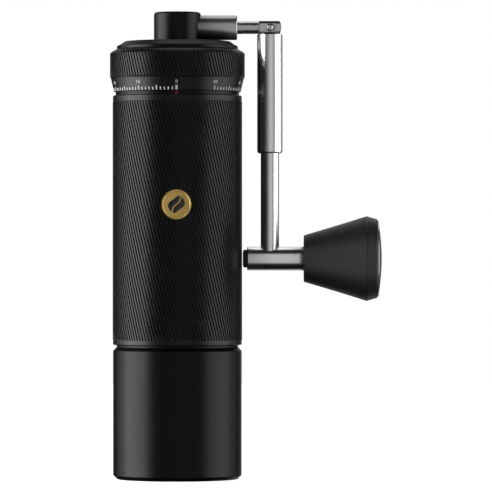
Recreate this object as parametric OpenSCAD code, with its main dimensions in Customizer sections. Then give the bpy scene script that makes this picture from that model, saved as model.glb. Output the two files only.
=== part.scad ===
// Hand crank coffee grinder with a folding crank arm.
// Millimetres. Origin: centre of the cup's underside. +Z up, front is -Y,
// and the crank arm lies in the XZ plane on the +X side.

/* [Body] */
// Outer diameter of the knurled grip
grip_d = 55; // [52:0.5:60]
// Outer diameter of the plain bands above and below the knurling
band_d = 54.74; // [51:0.5:55]
// Bore of the body tube
body_bore_d = 50; // [49.8:0.1:50.2]
// Height at which the body tube begins
body_bottom_z = 57; // [56.5:0.1:57.5]
// Height at which the body tube ends
body_top_z = 162.8; // [162:0.1:163]

/* [Grounds cup] */
// Outer diameter of the grounds cup
cup_d = 54.66; // [52:0.2:56]
// Height of the grounds cup
cup_h = 56; // [55.8:0.1:56.02]
// Thickness of the cup's floor
cup_floor = 3; // [2:0.5:6]
// Bevel round the foot of the cup
cup_foot_bevel = 1.7; // [0.5:0.1:2.5]

/* [Adjusting dial] */
// Diameter over the dial's knurling
dial_d = 57.28; // [56:0.2:60]
// Height at which the dial ends
dial_top_z = 182.6; // [182.4:0.1:182.8]
// Number of click notches under the dial
click_notches = 50; // [30:10:60]

/* [Lid and hub] */
// Diameter of the lid
lid_d = 51.4; // [49:0.2:52]
// Height of the lid's flat top
lid_top_z = 185.9; // [185.5:0.1:186.2]
// Diameter of the crank's hub
hub_d = 19.94; // [17:0.1:20]
// Height of the top of the hub
hub_top_z = 198.3; // [197:0.1:205]

/* [Crank arm] */
// Height of the inner arm above the base
arm_z = 191.7; // [191.6:0.1:192]
// Distance of the arm's folding pivot from the axis
pivot_x = 39.3; // [39.2:0.1:42]
// Diameter of the inner arm's rod
inner_rod_d = 5.35; // [4.8:0.1:5.4]
// Diameter of the outer arm's rod
outer_rod_d = 7.8; // [7:0.1:7.8]
// Outer diameter of the locking sleeve
sleeve_d = 10.8; // [10.6:0.1:12]
// Length of the locking sleeve
sleeve_h = 50.6; // [30:0.2:60]
// Length of the outer arm, from its pivot to the knob's axis
arm_length = 98.1; // [80:0.1:110]

/* [Knob] */
// Diameter of the spindle beside the knob
spindle_d = 10.1; // [9.6:0.1:11]
// Distance from the grinder's axis to the inner face of the knob
knob_x = 53.7; // [53.6:0.1:54]
// Largest diameter of the knob
knob_d = 36; // [33:0.2:40]

/* [Hidden] */

$fn = 96;
eps = 0.02;

// Radii worked out from the driving diameters
grip_r = grip_d / 2;
band_r = band_d / 2;
bore_r = body_bore_d / 2;
cup_r = cup_d / 2;
dial_r = dial_d / 2;
lid_r = lid_d / 2;
hub_r = hub_d / 2;

// Grip: plain bands at both ends of the knurled stretch
band_low_top_z = body_bottom_z + 2.1;
band_high_low_z = body_top_z - 2.6;
edge_bevel = 0.3;

// Badge on the front of the grip
badge_z = 116.4;
badge_r = 6.25;
badge_back_y = -26.2;
badge_front_y = -27.45;

// Cup mouth, which holds a steel ring and takes the carrier's spigot
neck_r = 25.8;
cup_neck_bevel = cup_r - neck_r;
cup_bore_r = 23.6;
spigot_r = 24.3;
spigot_clearance = 0.1;
ring_low_z = 48.2;
ring_top_z = 50;
ring_bore_r = 21.6;

// Burrs
carrier_low_z = 50.05;
carrier_top_z = 75;
burr_seat_r = 20.8;
burr_low_z = 56;
burr_top_z = 70;
burr_gap = 0.2;
burr_mouth_r = 17.9;
burr_throat_r = 15.9;
burr_throat_z = 64;
cone_top_z = 74;
cone_top_r = 8.5;
magnet_count = 6;
magnet_circle_r = 22.55;

// Shaft and its bearings
shaft_r = 4;
shaft_low_r = 3.5;
shaft_shoulder_z = 72;
shaft_top_z = 179.4;
hex_af = 6.9;
hex_top_z = 187.8;
bearing_r = 8;
bearing_h = 5;
bridge_low_z = carrier_top_z;
bridge_top_z = 81;
bridge_arms = 3;
screw_circle_r = 22.6;
roller_r = 0.95;
roller_count = 12;
roller_circle_r = shaft_r + roller_r + 0.03;

// Preload spring
spring_r = 6.8;
spring_wire_r = 0.6;
spring_top_z = 94.4;
circlip_h = 1;
circlip_groove_r = 3.6;
spring_washer_h = 0.8;

// Top frame, which carries the dial and guides the lifting spider
frame_low_z = 150;
frame_bore_r = 22.6;
collar_r = 26.24;
collar_top_z = body_top_z + 1.5;
frame_neck_r = 25.2;
frame_neck_bore_r = 22.9;
frame_neck_top_z = 170.6;
lug_low_z = 158;
post_circle_r = 20.4;
post_r = 1.5;
post_top_z = 179.2;
index_w = 1.7;
index_h = 1.3;

// Click mechanism and the ring that keeps the dial on
click_circle_r = 24.1;
click_ball_r = 0.8;
click_pocket_r = 0.86;
click_count = 3;
click_ball_z = 169.95;
click_ring_low_z = 170.8;
click_ring_top_z = 172;
dial_bore_r = 25.3;
retainer_low_z = 167.55;
retainer_top_z = 168.45;

// Dial outline
dial_low_z = collar_top_z + 0.05;
skirt_low_r = 26.9;
skirt_top_r = 28.2;
skirt_top_z = 169.8;
dial_grip_low_z = 170.6;
dial_grip_top_z = 180.4;
dial_thread_r = 24;
dial_mouth_r = 24.4;
dial_mouth_z = 179.4;

// Lifting spider
spider_low_z = 173.6;
spider_top_z = spider_low_z + bearing_h;
spider_r = 23.9;

// Lid
lid_low_z = dial_top_z + eps;
lid_plate_z = 182.2;
lid_skirt_r = 24.3;
lid_skirt_low_z = 179.6;
hub_pocket_r = hub_r + 0.28;
hub_pocket_z = 184.2;
bush_r = 8;

// Hub, drive socket and arm
hub_low_z = lid_top_z - 0.15;
hub_round = 1.3;
socket_r = 6;
socket_low_z = 180.2;
socket_top_z = 188.6;
clip_low_z = 180.6;
clip_top_z = 181.4;
collar_end_x = 25.4;
collar_d = 10.5;
arm_root_x = -7;
inner_rod_r = inner_rod_d / 2;
fork_x = 34.85;
fork_r = 4.3;
fork_half_h = 2.65;
fork_reach = 5.1;
fork_slot = 3.1;
pin_r = 1.5;
pin_clearance = 0.03;

// Outer arm
tongue_t = 2.9;
outer_r = outer_rod_d / 2;
guide_r = 4.3;
guide_top_drop = 5.9;
guide_h = 6;
spindle_z = arm_z - arm_length;
spindle_r = spindle_d / 2;
spindle_low_x = 29.6;
spindle_top_x = knob_x - 0.4;
tip_r = 3.8;
tip_x = 27.8;
axle_r = 3;
axle_top_x = 80;
stud_r = 2.6;

// Locking sleeve
sleeve_r = sleeve_d / 2;
sleeve_top_z = arm_z - 2.9;
sleeve_low_z = sleeve_top_z - sleeve_h;
sleeve_bore_r = 4.4;
sleeve_lip_r = outer_r + 0.05;
sleeve_lip_h = 3.6;
sleeve_round = 1.2;
sleeve_ring_r = 4.8;

// Knob
knob_r = knob_d / 2;
knob_face_r = 10.05;
knob_wide_x = 80.4;
knob_end_x = 85.2;
knob_end_r = 16.4;
knob_bore_r = 5;
knob_recess_r = 12.5;
knob_recess_x = 79;
knob_ring_r = 15.9;
knob_ring_x = 84.7;
knob_cap_x = 85.6;
knob_cap_r = 14.6;
knob_top_x = 86.8;
knob_bush_h = 5;

// ---------------------------------------------------------------- shapes

// A solid turned about the Z axis from an outline of [radius, height]
module turned(outline) {
    rotate_extrude() polygon(outline);
}

// A plain ring about the Z axis
module ring(r_out, r_in, z_low, z_top) {
    turned([[r_in, z_low], [r_out, z_low], [r_out, z_top], [r_in, z_top]]);
}

// Places children, made along +Z, along +X at the height z
module lying(z) {
    translate([0, 0, z]) rotate([0, 90, 0]) children();
}

// Places children, made along +Z, along +Y at the place x, z
module crosswise(x, z) {
    translate([x, 0, z]) rotate([-90, 0, 0]) children();
}

// Repeats children evenly about the Z axis
module spaced(count, first = 0) {
    for (i = [0 : count - 1]) {
        rotate([0, 0, first + i * 360 / count]) children();
    }
}

// Points of a quarter round from angle a to angle b, about a centre
function arc(cx, cy, r, a, b, steps = 8) =
    [for (i = [0 : steps]) [cx + r * cos(a + (b - a) * i / steps), cy + r * sin(a + (b - a) * i / steps)]];

// A helical spring of round wire, standing on z_low
module coil(coil_r, wire_r, z_low, z_top, turns, sides = 8, per_turn = 20) {
    n = turns * per_turn;
    rise = (z_top - z_low - 2 * wire_r) / n;
    points = [for (i = [0 : n], j = [0 : sides - 1])
        let (a = i * 360 / per_turn, b = j * 360 / sides, r = coil_r + wire_r * cos(b))
        [r * cos(a), r * sin(a), z_low + wire_r + i * rise + wire_r * sin(b)]];
    sides_of_wire = [for (i = [0 : n - 1], j = [0 : sides - 1])
        let (k = (j + 1) % sides)
        [i * sides + j, i * sides + k, (i + 1) * sides + k, (i + 1) * sides + j]];
    first_end = [[for (j = [sides - 1 : -1 : 0]) j]];
    last_end = [[for (j = [0 : sides - 1]) n * sides + j]];
    polyhedron(points, concat(sides_of_wire, first_end, last_end));
}

// ------------------------------------------------------------ grounds cup

module grounds_cup() {
    color("#2e2e30") turned([
        [0, 0], [cup_r - cup_foot_bevel, 0], [cup_r, cup_foot_bevel],
        [cup_r, cup_h - cup_neck_bevel], [neck_r, cup_h],
        [spigot_r + spigot_clearance, cup_h], [spigot_r + spigot_clearance, ring_low_z],
        [cup_bore_r, ring_low_z], [cup_bore_r, cup_floor], [0, cup_floor]
    ]);
}

module cup_armature_ring() {
    color("silver") ring(spigot_r + spigot_clearance, ring_bore_r, ring_low_z, ring_top_z);
}

// ---------------------------------------------------------------- housing

module body_sleeve() {
    color("#262628") difference() {
        turned([
            [bore_r, body_bottom_z], [band_r - edge_bevel, body_bottom_z],
            [band_r, body_bottom_z + edge_bevel], [band_r, band_low_top_z],
            [grip_r, band_low_top_z], [grip_r, band_high_low_z],
            [band_r, band_high_low_z], [band_r, body_top_z - edge_bevel],
            [band_r - edge_bevel, body_top_z], [bore_r, body_top_z]
        ]);
        crosswise(0, badge_z) translate([0, 0, -grip_r - 1]) cylinder(r = badge_r, h = grip_r + 1 + badge_back_y);
        lying(spindle_z) translate([0, 0, bore_r - 1]) cylinder(r = 3, h = 2.35);
    }
}

module badge() {
    color("#a58a45") crosswise(0, badge_z) translate([0, 0, badge_front_y]) {
        turned([
            [0, 0], [badge_r - 0.3, 0], [badge_r, 0.3],
            [badge_r, badge_back_y - badge_front_y], [0, badge_back_y - badge_front_y]
        ]);
    }
}

module grip_magnet() {
    color("silver") lying(spindle_z) translate([0, 0, bore_r - 0.15]) cylinder(r = 3, h = 1.5);
}

module burr_carrier() {
    color("#1f1f20") difference() {
        turned([
            [burr_seat_r, carrier_low_z], [spigot_r, carrier_low_z], [spigot_r, cup_h + eps],
            [neck_r, cup_h + eps], [neck_r, body_bottom_z], [bore_r, body_bottom_z],
            [bore_r, carrier_top_z], [18, carrier_top_z], [18, burr_top_z],
            [burr_seat_r, burr_top_z]
        ]);
        spaced(magnet_count) translate([magnet_circle_r, 0, carrier_low_z - 1]) cylinder(r = 1.3, h = 3);
        spaced(bridge_arms) translate([screw_circle_r, 0, carrier_top_z - 6]) cylinder(r = 1.25, h = 7);
    }
}

module carrier_magnets() {
    color("gray") spaced(magnet_count) {
        translate([magnet_circle_r, 0, carrier_low_z]) cylinder(r = 1.3, h = 2);
    }
}

module outer_burr() {
    color("darkgray") turned([
        [burr_mouth_r, burr_low_z], [burr_seat_r, burr_low_z], [burr_seat_r, burr_top_z],
        [burr_throat_r, burr_top_z], [burr_throat_r, burr_throat_z]
    ]);
}

module burr_retainer() {
    color("silver") ring(burr_seat_r, 18.4, 53, burr_low_z);
}

module lower_bridge() {
    color("silver") difference() {
        union() {
            ring(bore_r, 20.2, bridge_low_z, bridge_top_z);
            cylinder_shell(10.5, 6.5, bridge_low_z, bridge_top_z);
            spaced(bridge_arms) translate([9, -3, bridge_low_z]) cube([12, 6, bridge_top_z - bridge_low_z]);
        }
        translate([0, 0, bridge_top_z - bearing_h]) cylinder(r = bearing_r, h = bearing_h + 1);
        spaced(bridge_arms) translate([screw_circle_r, 0, bridge_low_z - 1]) cylinder(r = 1.25, h = 8);
        spaced(bridge_arms) translate([screw_circle_r, 0, bridge_top_z - 2]) cylinder(r = 2.3, h = 3);
    }
}

// A tube about the Z axis, cut so that its bore stays a true cylinder
module cylinder_shell(r_out, r_in, z_low, z_top) {
    difference() {
        translate([0, 0, z_low]) cylinder(r = r_out, h = z_top - z_low);
        translate([0, 0, z_low - 1]) cylinder(r = r_in, h = z_top - z_low + 2);
    }
}

module bridge_screws() {
    color("gray") spaced(bridge_arms) translate([screw_circle_r, 0, 0]) difference() {
        union() {
            translate([0, 0, carrier_top_z - 6]) cylinder(r = 1.25, h = bridge_top_z - 2 - carrier_top_z + 6);
            translate([0, 0, bridge_top_z - 2]) cylinder(r = 2.3, h = 1.8);
        }
        translate([0, 0, bridge_top_z - 1.2]) cylinder(r = 1.15, h = 2, $fn = 6);
    }
}

module lower_bearing_shell() {
    color("silver") ring(bearing_r, roller_circle_r + roller_r + 0.03, bridge_top_z - bearing_h, bridge_top_z);
}

module lower_bearing_rollers() {
    color("gray") spaced(roller_count) {
        translate([roller_circle_r, 0, bridge_top_z - bearing_h + 0.3]) cylinder(r = roller_r, h = bearing_h - 0.6);
    }
}

module top_frame() {
    color("#3a3a3c") difference() {
        union() {
            turned([
                [frame_bore_r, frame_low_z], [bore_r, frame_low_z], [bore_r, body_top_z],
                [collar_r, body_top_z], [collar_r, collar_top_z], [frame_neck_r, collar_top_z],
                [frame_neck_r, retainer_low_z], [24.6, retainer_low_z], [24.6, retainer_top_z],
                [frame_neck_r, retainer_top_z], [frame_neck_r, frame_neck_top_z],
                [frame_neck_bore_r, frame_neck_top_z], [frame_neck_bore_r, collar_top_z],
                [frame_bore_r, collar_top_z]
            ]);
            spaced(bridge_arms) {
                translate([18.4, -2.6, lug_low_z]) cube([4.8, 5.2, body_top_z - lug_low_z]);
                translate([post_circle_r, 0, body_top_z - 1]) cylinder(r = post_r, h = post_top_z - body_top_z + 1);
            }
        }
        spaced(click_count, 60) translate([click_circle_r, 0, 164.8]) cylinder(r = click_pocket_r, h = 8);
        index_prism(0.01);
    }
}

// The triangular inlay that points up at the dial's scale
module index_prism(extra) {
    translate([0, -collar_r + 0.8 - extra, body_top_z + 0.1]) rotate([90, 0, 0])
        linear_extrude(height = 0.85 + 2 * extra)
            polygon([[-index_w / 2, 0], [index_w / 2, 0], [0, index_h]]);
}

module index_mark() {
    color("#6a2a24") index_prism(0);
}

module dial_retainer() {
    color("gray") difference() {
        ring(25.75, 24.65, retainer_low_z + eps, retainer_top_z - eps);
        translate([-30, -1.5, retainer_low_z - 1]) cube([10, 3, 3]);
    }
}

module click_balls() {
    color("silver") spaced(click_count, 60) translate([click_circle_r, 0, click_ball_z]) {
        rotate_extrude($fn = 24) polygon(concat([[0, -click_ball_r]],
            arc(0, 0, click_ball_r, -75, 75, 10), [[0, click_ball_r]]));
    }
}

module click_springs() {
    color("gray") spaced(click_count, 60) translate([click_circle_r, 0, 0]) {
        coil(0.38, 0.12, 164.85, click_ball_z - click_ball_r - eps, 6, 6, 12);
    }
}

module preload_spring() {
    color("gray") coil(spring_r, spring_wire_r, bridge_top_z, spring_top_z, 4);
}

// ------------------------------------------------------------------- dial

module dial_ring() {
    color("#2a2a2c") turned([
        [dial_bore_r, dial_low_z], [skirt_low_r, dial_low_z], [skirt_top_r, skirt_top_z],
        [dial_r, dial_grip_low_z], [dial_r, dial_grip_top_z],
        [dial_r - 0.7, dial_grip_top_z + 0.9], [dial_r - 2.04, dial_top_z - 0.5],
        [lid_r, dial_top_z], [dial_mouth_r, dial_top_z], [dial_mouth_r, dial_mouth_z],
        [dial_thread_r, dial_mouth_z], [dial_thread_r, click_ring_top_z],
        [dial_bore_r, click_ring_top_z], [dial_bore_r, retainer_top_z + 0.05],
        [25.85, retainer_top_z + 0.05], [25.85, retainer_low_z - 0.05],
        [dial_bore_r, retainer_low_z - 0.05]
    ]);
}

module click_ring() {
    color("gray") difference() {
        ring(dial_bore_r, 23.2, click_ring_low_z, click_ring_top_z);
        spaced(click_notches) translate([22.5, 0, click_ring_low_z - 0.3]) {
            rotate([0, 90, 0]) cylinder(r = 0.7, h = 2.4);
        }
    }
}

// --------------------------------------------------------------- adjuster

module lift_spider() {
    color("#b08d4a") difference() {
        union() {
            ring(spider_r, 21.6, spider_low_z, spider_top_z);
            cylinder_shell(10.5, 6.6, spider_low_z, spider_top_z);
            spaced(bridge_arms) translate([9, -3.2, spider_low_z]) cube([13.5, 6.4, bearing_h]);
        }
        translate([0, 0, spider_low_z - 1]) cylinder(r = bearing_r, h = bearing_h + 2);
        spaced(bridge_arms) translate([post_circle_r, 0, spider_low_z - 1]) cylinder(r = post_r + 0.05, h = 7);
    }
}

// Outline of a bearing race from r_a to r_b, with a groove for the balls
module race(r_a, r_b) {
    rotate_extrude() difference() {
        translate([r_a, spider_low_z]) square([r_b - r_a, bearing_h]);
        translate([6, spider_low_z + bearing_h / 2]) circle(r = 1.22, $fn = 48);
    }
}

module upper_bearing_outer() {
    color("silver") race(6.7, bearing_r);
}

module upper_bearing_balls() {
    color("gray") spaced(8) translate([6, 0, spider_low_z + bearing_h / 2]) {
        rotate_extrude($fn = 24) polygon(concat([[0, -1.19]], arc(0, 0, 1.19, -75, 75, 10), [[0, 1.19]]));
    }
}

// ------------------------------------------------------------------ shaft

module main_shaft() {
    color("silver") {
        turned([
            [0, 50.4], [shaft_low_r - 0.4, 50.4], [shaft_low_r, 50.8], [shaft_low_r, shaft_shoulder_z],
            [shaft_r, shaft_shoulder_z], [shaft_r, spring_top_z + spring_washer_h],
            [circlip_groove_r, spring_top_z + spring_washer_h],
            [circlip_groove_r, spring_top_z + spring_washer_h + circlip_h],
            [shaft_r, spring_top_z + spring_washer_h + circlip_h],
            [shaft_r, 170.6], [5, 170.6], [5, spider_low_z], [shaft_r, spider_low_z],
            [shaft_r, spider_top_z], [circlip_groove_r, spider_top_z],
            [circlip_groove_r, spider_top_z + 0.6], [0, spider_top_z + 0.6]
        ]);
        translate([0, 0, spider_top_z + 0.6]) {
            cylinder(r = hex_af / sqrt(3), h = hex_top_z - spider_top_z - 0.6, $fn = 6);
        }
    }
}

module inner_burr() {
    color("darkgray") turned([
        [shaft_low_r, burr_low_z], [burr_mouth_r - burr_gap, burr_low_z],
        [burr_throat_r - burr_gap, burr_throat_z], [cone_top_r, cone_top_z],
        [shaft_r, cone_top_z], [shaft_r, shaft_shoulder_z], [shaft_low_r, shaft_shoulder_z]
    ]);
}

module burr_washer() {
    color("silver") ring(7, shaft_low_r, burr_low_z - 1, burr_low_z);
}

module burr_nut() {
    color("silver") difference() {
        translate([0, 0, 51.4]) cylinder(r = 5.8, h = burr_low_z - 1 - 51.4, $fn = 6);
        translate([0, 0, 50]) cylinder(r = shaft_low_r, h = 8);
    }
}

module spring_washer() {
    color("silver") ring(8, shaft_r, spring_top_z, spring_top_z + spring_washer_h);
}

// A C-shaped clip that snaps into a groove
module circlip(r_out, r_in, z_low, z_top) {
    difference() {
        ring(r_out, r_in, z_low, z_top);
        translate([-r_out - 1, -1, z_low - 1]) cube([r_out + 1, 2, z_top - z_low + 2]);
    }
}

module spring_circlip() {
    color("gray") circlip(6, circlip_groove_r, spring_top_z + spring_washer_h,
        spring_top_z + spring_washer_h + circlip_h);
}

module upper_bearing_inner() {
    color("silver") race(shaft_r, 5.3);
}

module upper_circlip() {
    color("gray") circlip(5.4, circlip_groove_r, spider_top_z, spider_top_z + 0.6);
}

// -------------------------------------------------------------------- lid

module lid_cap() {
    color("#2c2c2e") turned([
        [bush_r, lid_plate_z], [23.1, lid_plate_z], [23.1, lid_skirt_low_z],
        [lid_skirt_r, lid_skirt_low_z], [lid_skirt_r, 180.2], [23.6, 180.2], [23.6, 181.4],
        [lid_skirt_r, 181.4], [lid_skirt_r, lid_low_z], [lid_r, lid_low_z],
        [lid_r, lid_low_z + 1.2], [lid_r - 1.7, 184.7], [lid_r - 2.9, 185.5],
        [lid_r - 3.2, lid_top_z], [hub_pocket_r, lid_top_z], [hub_pocket_r, hub_pocket_z],
        [bush_r, hub_pocket_z]
    ]);
}

module lid_seal() {
    color("#555555") turned([
        [23.6, 180.2], [lid_skirt_r, 180.2], [dial_mouth_r - 0.02, 180.6],
        [dial_mouth_r - 0.02, 181], [lid_skirt_r, 181.4], [23.6, 181.4]
    ]);
}

module lid_bush() {
    color("#b08d4a") ring(bush_r, socket_r + 0.05, lid_plate_z - 0.6, hub_pocket_z);
}

// ------------------------------------------------------------------ crank

module crank_hub() {
    color("#2c2c2e") difference() {
        rotate_extrude() polygon(concat(
            [[0, hub_low_z], [hub_r, hub_low_z]],
            arc(hub_r - hub_round, hub_top_z - hub_round, hub_round, 0, 90),
            [[0, hub_top_z]]));
        translate([0, 0, hub_low_z - 1]) cylinder(r = socket_r, h = socket_top_z - hub_low_z + 1);
        lying(arm_z) translate([0, 0, arm_root_x]) cylinder(r = inner_rod_r, h = 40);
        crosswise(0, arm_z) cylinder(r = 2, h = hub_r + 1);
    }
}

module drive_socket() {
    color("silver") difference() {
        turned([
            [0, socket_low_z], [socket_r, socket_low_z], [socket_r, clip_low_z],
            [5.4, clip_low_z], [5.4, clip_top_z], [socket_r, clip_top_z],
            [socket_r, socket_top_z], [0, socket_top_z]
        ]);
        translate([0, 0, socket_low_z - 1]) {
            cylinder(r = (hex_af + 0.12) / sqrt(3), h = hex_top_z + 0.3 - socket_low_z + 1, $fn = 6);
        }
    }
}

module hub_clip() {
    color("gray") circlip(7.4, 5.4, clip_low_z, clip_top_z);
}

module arm_collar() {
    color("silver") difference() {
        lying(arm_z) turned([
            [inner_rod_r, hub_r - 1.6], [collar_d / 2, hub_r - 1.6],
            [collar_d / 2, collar_end_x - 0.8], [collar_d / 2 - 0.8, collar_end_x],
            [inner_rod_r, collar_end_x]
        ]);
        translate([0, 0, hub_low_z]) cylinder(r = hub_r, h = hub_top_z - hub_low_z);
    }
}

module inner_arm() {
    color("silver") difference() {
        union() {
            lying(arm_z) translate([0, 0, arm_root_x]) cylinder(r = inner_rod_r, h = fork_x - arm_root_x + 0.5);
            intersection() {
                lying(arm_z) translate([0, 0, fork_x]) cylinder(r = fork_r, h = 10);
                translate([fork_x, -10, arm_z - fork_half_h]) cube([20, 20, 2 * fork_half_h]);
                union() {
                    translate([fork_x - 1, -10, arm_z - 10]) cube([pivot_x - fork_x + 1, 20, 20]);
                    translate([pivot_x, 0, arm_z]) sphere(r = fork_reach);
                }
            }
        }
        translate([pivot_x - 3.1, -fork_slot / 2, arm_z - 10]) cube([20, fork_slot, 20]);
        crosswise(pivot_x, arm_z) translate([0, 0, -10]) cylinder(r = pin_r, h = 20);
        crosswise(0, arm_z) translate([0, 0, 1.6]) cylinder(r = 2, h = 3);
    }
}

module arm_set_screw() {
    color("gray") difference() {
        crosswise(0, arm_z) translate([0, 0, 1.6]) cylinder(r = 2, h = hub_r - 2.1);
        crosswise(0, arm_z) translate([0, 0, hub_r - 2.5]) cylinder(r = 1.1, h = 4, $fn = 6);
    }
}

module pivot_pin() {
    color("silver") crosswise(pivot_x, arm_z) translate([0, 0, -4.2]) cylinder(r = pin_r, h = 8.4);
}

// -------------------------------------------------------------- outer arm

module outer_rod() {
    color("silver") difference() {
        union() {
            intersection() {
                union() {
                    crosswise(pivot_x, arm_z) translate([0, 0, -tongue_t / 2]) {
                        cylinder(r = fork_half_h, h = tongue_t);
                    }
                    translate([pivot_x - fork_half_h, -tongue_t / 2, arm_z - guide_top_drop - 0.5]) {
                        cube([2 * fork_half_h, tongue_t, guide_top_drop + 0.5]);
                    }
                }
                crosswise(pivot_x, arm_z) translate([0, 0, -5]) cylinder(r = guide_top_drop + 1, h = 10);
            }
            translate([pivot_x, 0, 0]) turned([
                [0, spindle_z], [outer_r, spindle_z], [outer_r, arm_z - guide_top_drop - guide_h],
                [guide_r, arm_z - guide_top_drop - guide_h + 0.4],
                [guide_r, arm_z - guide_top_drop - 0.4], [guide_r - 0.4, arm_z - guide_top_drop],
                [0, arm_z - guide_top_drop]
            ]);
        }
        crosswise(pivot_x, arm_z) translate([0, 0, -5]) cylinder(r = pin_r + pin_clearance, h = 10);
        lying(spindle_z) translate([0, 0, spindle_low_x]) cylinder(r = spindle_r, h = 30);
    }
    color("silver") translate([pivot_x, 0, spindle_z - 2.6]) {
        cylinder(r = stud_r, h = 2.6 + spindle_r + 0.5);
    }
}

module knob_spindle() {
    color("silver") difference() {
        lying(spindle_z) turned([
            [0, spindle_low_x], [tip_r, spindle_low_x], [spindle_r, spindle_low_x + 0.8],
            [spindle_r, spindle_top_x], [axle_r, spindle_top_x], [axle_r, axle_top_x], [0, axle_top_x]
        ]);
        translate([pivot_x, 0, spindle_z - 2.6]) cylinder(r = stud_r, h = 20);
        lying(spindle_z) translate([0, 0, spindle_low_x - 1]) cylinder(r = 2, h = 5);
        lying(spindle_z) translate([0, 0, axle_top_x - 8]) cylinder(r = 1.25, h = 9);
    }
}

module rest_tip() {
    color("#202020") lying(spindle_z) turned([
        [0, tip_x], [tip_r - 0.5, tip_x], [tip_r, tip_x + 0.5], [tip_r, spindle_low_x],
        [2, spindle_low_x], [2, spindle_low_x + 3.8], [0, spindle_low_x + 3.8]
    ]);
}

module knob_screw() {
    color("gray") difference() {
        lying(spindle_z) turned([
            [0, axle_top_x - 7], [1.25, axle_top_x - 7], [1.25, axle_top_x + 0.8],
            [2.5, axle_top_x + 0.8], [2.5, axle_top_x + 2.4], [0, axle_top_x + 2.4]
        ]);
        lying(spindle_z) translate([0, 0, axle_top_x + 1.2]) cylinder(r = 1.1, h = 3, $fn = 6);
    }
}

module knob_washer() {
    color("silver") lying(spindle_z) ring(6.5, 1.25, axle_top_x, axle_top_x + 0.8);
}

// ---------------------------------------------------------- locking sleeve

module lock_sleeve() {
    color("silver") translate([pivot_x, 0, 0]) rotate_extrude() polygon(concat(
        [[sleeve_lip_r, sleeve_low_z]],
        arc(sleeve_r - sleeve_round, sleeve_low_z + sleeve_round, sleeve_round, -90, 0),
        [
            [sleeve_r, sleeve_top_z - 0.3], [sleeve_r - 0.3, sleeve_top_z],
            [sleeve_bore_r, sleeve_top_z], [sleeve_bore_r, sleeve_low_z + sleeve_lip_h],
            [sleeve_lip_r, sleeve_low_z + sleeve_lip_h], [sleeve_lip_r, sleeve_low_z + 2.4],
            [sleeve_ring_r, sleeve_low_z + 2.4], [sleeve_ring_r, sleeve_low_z + 1.2],
            [sleeve_lip_r, sleeve_low_z + 1.2]
        ]));
}

module sleeve_ring() {
    color("#303030") translate([pivot_x, 0, 0]) {
        ring(sleeve_ring_r, outer_r + 0.02, sleeve_low_z + 1.2, sleeve_low_z + 2.4);
    }
}

// ------------------------------------------------------------------- knob

module knob_shell() {
    slope = (knob_r - knob_face_r) / (knob_wide_x - 1.6 - knob_x);
    color("#242426") lying(spindle_z) turned([
        [knob_bore_r, knob_x], [knob_face_r - 0.6, knob_x], [knob_face_r, knob_x + 0.4],
        [knob_r - 1.6 * slope, knob_wide_x - 2.4], [knob_r - 0.12, knob_wide_x - 1],
        [knob_r, knob_wide_x - 0.2], [knob_r - 0.14, knob_wide_x + 0.9],
        [knob_r - 1.1, knob_end_x - 0.5], [knob_end_r, knob_end_x],
        [knob_ring_r, knob_end_x], [knob_ring_r, knob_ring_x],
        [knob_recess_r, knob_ring_x], [knob_recess_r, knob_recess_x],
        [knob_bore_r, knob_recess_x]
    ]);
}

module knob_ring() {
    color("silver") lying(spindle_z) ring(knob_ring_r, knob_recess_r, knob_ring_x, knob_cap_x);
}

module knob_cap() {
    rise = knob_top_x - knob_cap_x;
    dome_r = (knob_cap_r * knob_cap_r + rise * rise) / (2 * rise);
    reach = asin(knob_cap_r / dome_r);
    color("#242426") lying(spindle_z) rotate_extrude() polygon(concat(
        [[0, 83.2], [knob_recess_r, 83.2], [knob_recess_r, knob_cap_x]],
        arc(0, knob_top_x - dome_r, dome_r, 90 - reach, 90)));
}

module knob_bushes() {
    color("#b08d4a") lying(spindle_z) {
        ring(knob_bore_r, axle_r + 0.03, knob_x, knob_x + knob_bush_h);
        ring(knob_bore_r, axle_r + 0.03, knob_recess_x - knob_bush_h, knob_recess_x);
    }
}

// ---------------------------------------------------------------- drawing

grounds_cup();
cup_armature_ring();
body_sleeve();
badge();
grip_magnet();
burr_carrier();
carrier_magnets();
outer_burr();
burr_retainer();
lower_bridge();
bridge_screws();
lower_bearing_shell();
lower_bearing_rollers();
top_frame();
index_mark();
dial_retainer();
click_balls();
click_springs();
preload_spring();
dial_ring();
click_ring();
lift_spider();
upper_bearing_outer();
upper_bearing_balls();
main_shaft();
inner_burr();
burr_washer();
burr_nut();
spring_washer();
spring_circlip();
upper_bearing_inner();
upper_circlip();
lid_cap();
lid_seal();
lid_bush();
crank_hub();
drive_socket();
hub_clip();
arm_collar();
inner_arm();
arm_set_screw();
pivot_pin();
outer_rod();
knob_spindle();
rest_tip();
knob_screw();
knob_washer();
lock_sleeve();
sleeve_ring();
knob_shell();
knob_ring();
knob_cap();
knob_bushes();
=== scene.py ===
"""A hand crank coffee grinder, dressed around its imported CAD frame.

Each operator below makes one piece or one group of like pieces, and the last
one sets the stage. Lengths are metres, +Z is up and the front is -Y.
"""

from math import asin, atan2, cos, pi, radians, sin, tan, tau

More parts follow.
